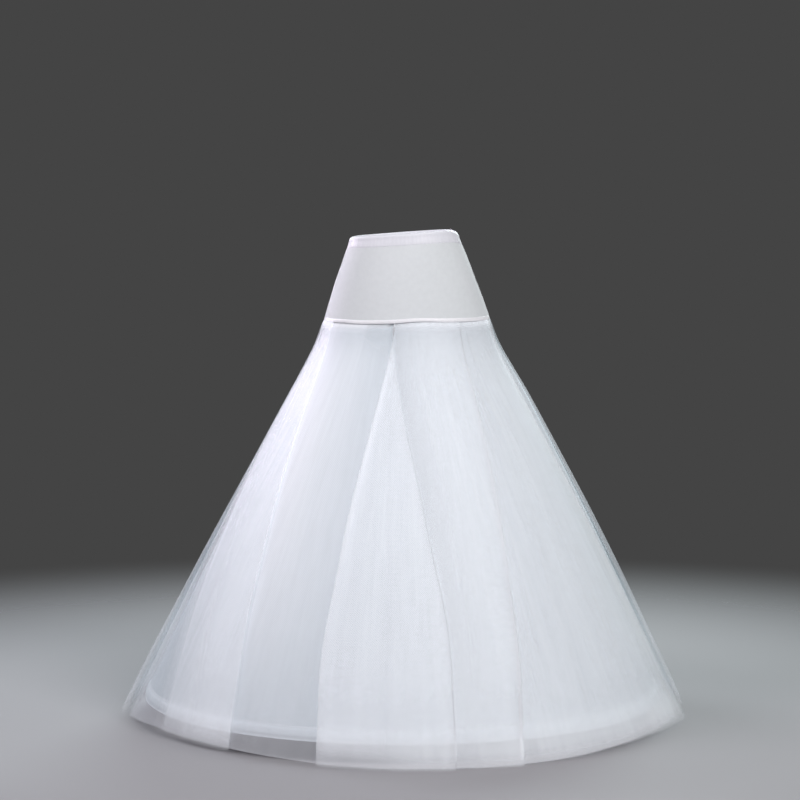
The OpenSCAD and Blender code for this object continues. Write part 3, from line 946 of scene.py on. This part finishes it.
for node, finish in (
        ("hoop_bone", coated("nylon_coated_spring_steel", ("#E6E6E2", "#F4F4F0"), 0.35, 6, 0.05)),
        ("hoop_connector", coated("moulded_nylon_sleeve", ("#DADAD2", "#E8E8E2"), 0.45, 3, 0.08))):
    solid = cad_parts[node]
    solid.data.materials.clear()
    solid.data.materials.append(finish)
    print(node, "has", finish.name)

# %% Elastic
def elastic_place(azimuth, outside, z):
    return on_garment(azimuth, outside, z + 0 * azimuth)


elastic_mesh = ring_mesh("waist_elastic_strip", [(-0.75, 998.0), (-0.75, 985.0)], elastic_place)
woven_elastic = coated("woven_elastic", ("#D8D9DE", "#EDEEF2"), 0.8, 1.5, 0.2)
elastic = new_piece("waist_elastic_strip", elastic_mesh, woven_elastic, ["waist_elastic"])

# %% [markdown]
# ## Floor and light
# A plain pale floor that fades out behind, and soft studio light: a large key from the front right, a
# weaker lamp at the left, two behind that shine through the net at both sides, and a faint narrow one
# that brightens the upper left edge. The world is dark grey, so that the white cloth keeps its tones.

# %% Floor
FLOOR_R, FADE_START, FADE_END = 2.6, 0.9, 2.4
angles = np.radians(np.arange(0, 360, 3))
rim = [(FLOOR_R * math.cos(t), FLOOR_R * math.sin(t), -0.0005) for t in angles]
floor_mesh = bpy.data.meshes.new("floor")
floor_mesh.from_pydata(rim, [], [list(range(len(rim)))])
floor = bpy.data.objects.new("floor", floor_mesh)
scene.collection.objects.link(floor)
floor_paint, tree, shader = start_material("matt_studio_floor", Base_Color=colour("#98989B"), Roughness=0.9)
where = add(tree, "ShaderNodeTexCoord").outputs["Object"]
distance = add(tree, "ShaderNodeVectorMath", {0: where}, operation="LENGTH").outputs["Value"]
fade = add(tree, "ShaderNodeMapRange", {0: distance, 1: FADE_START, 2: FADE_END, 3: 1.0, 4: 0.0},
           interpolation_type="SMOOTHSTEP")
tree.links.new(fade.outputs[0], shader.inputs["Alpha"])
floor_mesh.materials.append(floor_paint)
print("floor:", FLOOR_R, "m in radius, fading from", FADE_START, "m")

# %% Light
world = bpy.data.worlds.new("studio")
world.use_nodes = True
world.node_tree.nodes["Background"].inputs["Color"].default_value = colour("#444444")
scene.world = world
scene.view_settings.view_transform = "Standard"


def soft_light(name, place, aim, size, watts, tint, spread=180):
    """A round area lamp at a place, turned to its aim."""
    light = bpy.data.objects.new(name, bpy.data.lights.new(name, "AREA"))
    scene.collection.objects.link(light)
    light.data.shape, light.data.size, light.data.energy = "DISK", size, watts
    light.data.color, light.data.spread = colour(tint)[:3], math.radians(spread)
    light.location = place
    toward = np.array(aim) - np.array(place)
    tilt = math.acos(toward[2] / np.linalg.norm(toward)) + math.pi
    light.rotation_euler = (tilt, 0, math.atan2(toward[1], toward[0]) + math.pi / 2)


soft_light("key", (1.8, -2.7, 2.8), (0, 0, 0.7), 1.8, 122, "#FFFCFE")
soft_light("side", (-2.5, -1.2, 2.3), (0, 0, 0.8), 2.2, 54, "#FFF8FF")
soft_light("back", (1.0, 3.4, 2.4), (0, 0, 0.7), 2.0, 105, "#F0FFFD")
soft_light("rim", (-2.3, 2.0, 2.2), (-0.1, 0, 0.7), 1.6, 44, "#F2F8FF")
soft_light("edge", (-2.2, 1.8, 1.55), (-0.15, 0, 0.83), 0.6, 0.8, "#FFE6FF", 26)
